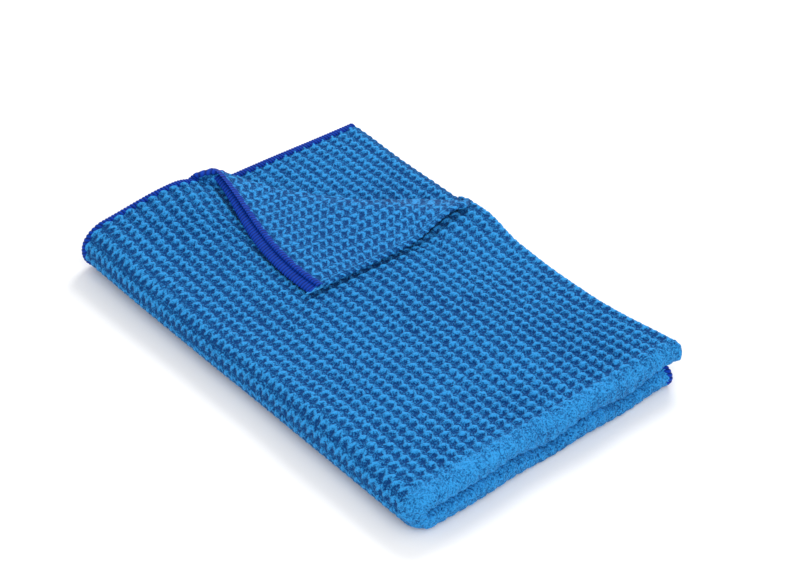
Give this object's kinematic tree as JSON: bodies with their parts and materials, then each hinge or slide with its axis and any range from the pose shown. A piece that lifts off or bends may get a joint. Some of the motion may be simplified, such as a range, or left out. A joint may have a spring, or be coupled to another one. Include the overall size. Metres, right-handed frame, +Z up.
{
  "type": "folded waffle-weave drying and polishing cloth",
  "caption": "Blue waffle-weave microfibre polishing cloth with overlocked hems, folded flat, with a top corner turned back.",
  "frame": {"origin": "middle of the bottom of the folded stack", "axes": "+X from the hemmed end to the folded end, +Y from the round side to the back, +Z up"},
  "size_m": [0.3, 0.204, 0.0365],
  "materials": {
    "waffle_weave": "matte waffle-weave microfibre, soft nap",
    "waffle_underside": "matte waffle-weave microfibre, underside, paler nap",
    "overlock_thread": "satin three-thread overlock stitching"
  },
  "bodies": {
    "lower_half": {"lower_sheet_1": "waffle_weave", "lower_sheet_2": "waffle_weave", "lower_sheet_3": "waffle_weave", "lower_sheet_4": "waffle_weave", "lower_hem_1": "overlock_thread", "lower_hem_2": "overlock_thread", "lower_hem_3": "overlock_thread", "lower_hem_4": "overlock_thread", "lower_end_fold_outer": "waffle_weave", "lower_end_fold_inner": "waffle_weave", "lower_back_hem_outer": "overlock_thread", "lower_back_hem_inner": "overlock_thread", "side_bend_1": "waffle_weave", "side_bend_2": "waffle_weave", "side_bend_3": "waffle_weave", "side_bend_4": "waffle_weave", "bend_hem_1": "overlock_thread", "bend_hem_2": "overlock_thread", "bend_hem_3": "overlock_thread", "bend_hem_4": "overlock_thread", "bend_end_fold_outer": "waffle_weave", "bend_end_fold_inner": "waffle_weave"},
    "upper_half": {"upper_sheet_1": "waffle_weave", "upper_sheet_2": "waffle_weave", "upper_sheet_3": "waffle_weave", "upper_sheet_4": "waffle_weave", "upper_hem_1": "overlock_thread", "upper_hem_2": "overlock_thread", "upper_hem_3": "overlock_thread", "upper_hem_4": "overlock_thread", "upper_end_fold_outer": "waffle_weave", "upper_end_fold_inner": "waffle_weave", "upper_back_fold_outer": "waffle_weave", "upper_back_fold_inner": "waffle_weave", "crease_roll_outer": "waffle_underside", "crease_roll_inner": "waffle_underside"},
    "turned_corner": {"corner_sheet_upper": "waffle_underside", "corner_sheet_under": "waffle_underside", "corner_hem_upper": "overlock_thread", "corner_hem_under": "overlock_thread", "corner_fold_edge": "waffle_underside"}
  },
  "joints": [
    {"name": "book_fold", "type": "hinge", "parent": "lower_half", "child": "upper_half", "pos_m": [0, -0.08855, 0.01345], "axis": [1, 0, 0], "range_deg": [0, 172], "deforming": ["side_bend_1", "side_bend_2", "side_bend_3", "side_bend_4", "bend_hem_1", "bend_hem_2", "bend_hem_3", "bend_hem_4", "bend_end_fold_outer", "bend_end_fold_inner"]},
    {"name": "corner_turn", "type": "hinge", "parent": "upper_half", "child": "turned_corner", "pos_m": [-0.087, 0.038, 0.0284], "axis": [-0.7071, -0.7071, 0], "range_deg": [0, 175], "deforming": ["crease_roll_outer", "crease_roll_inner"]}
  ]
}
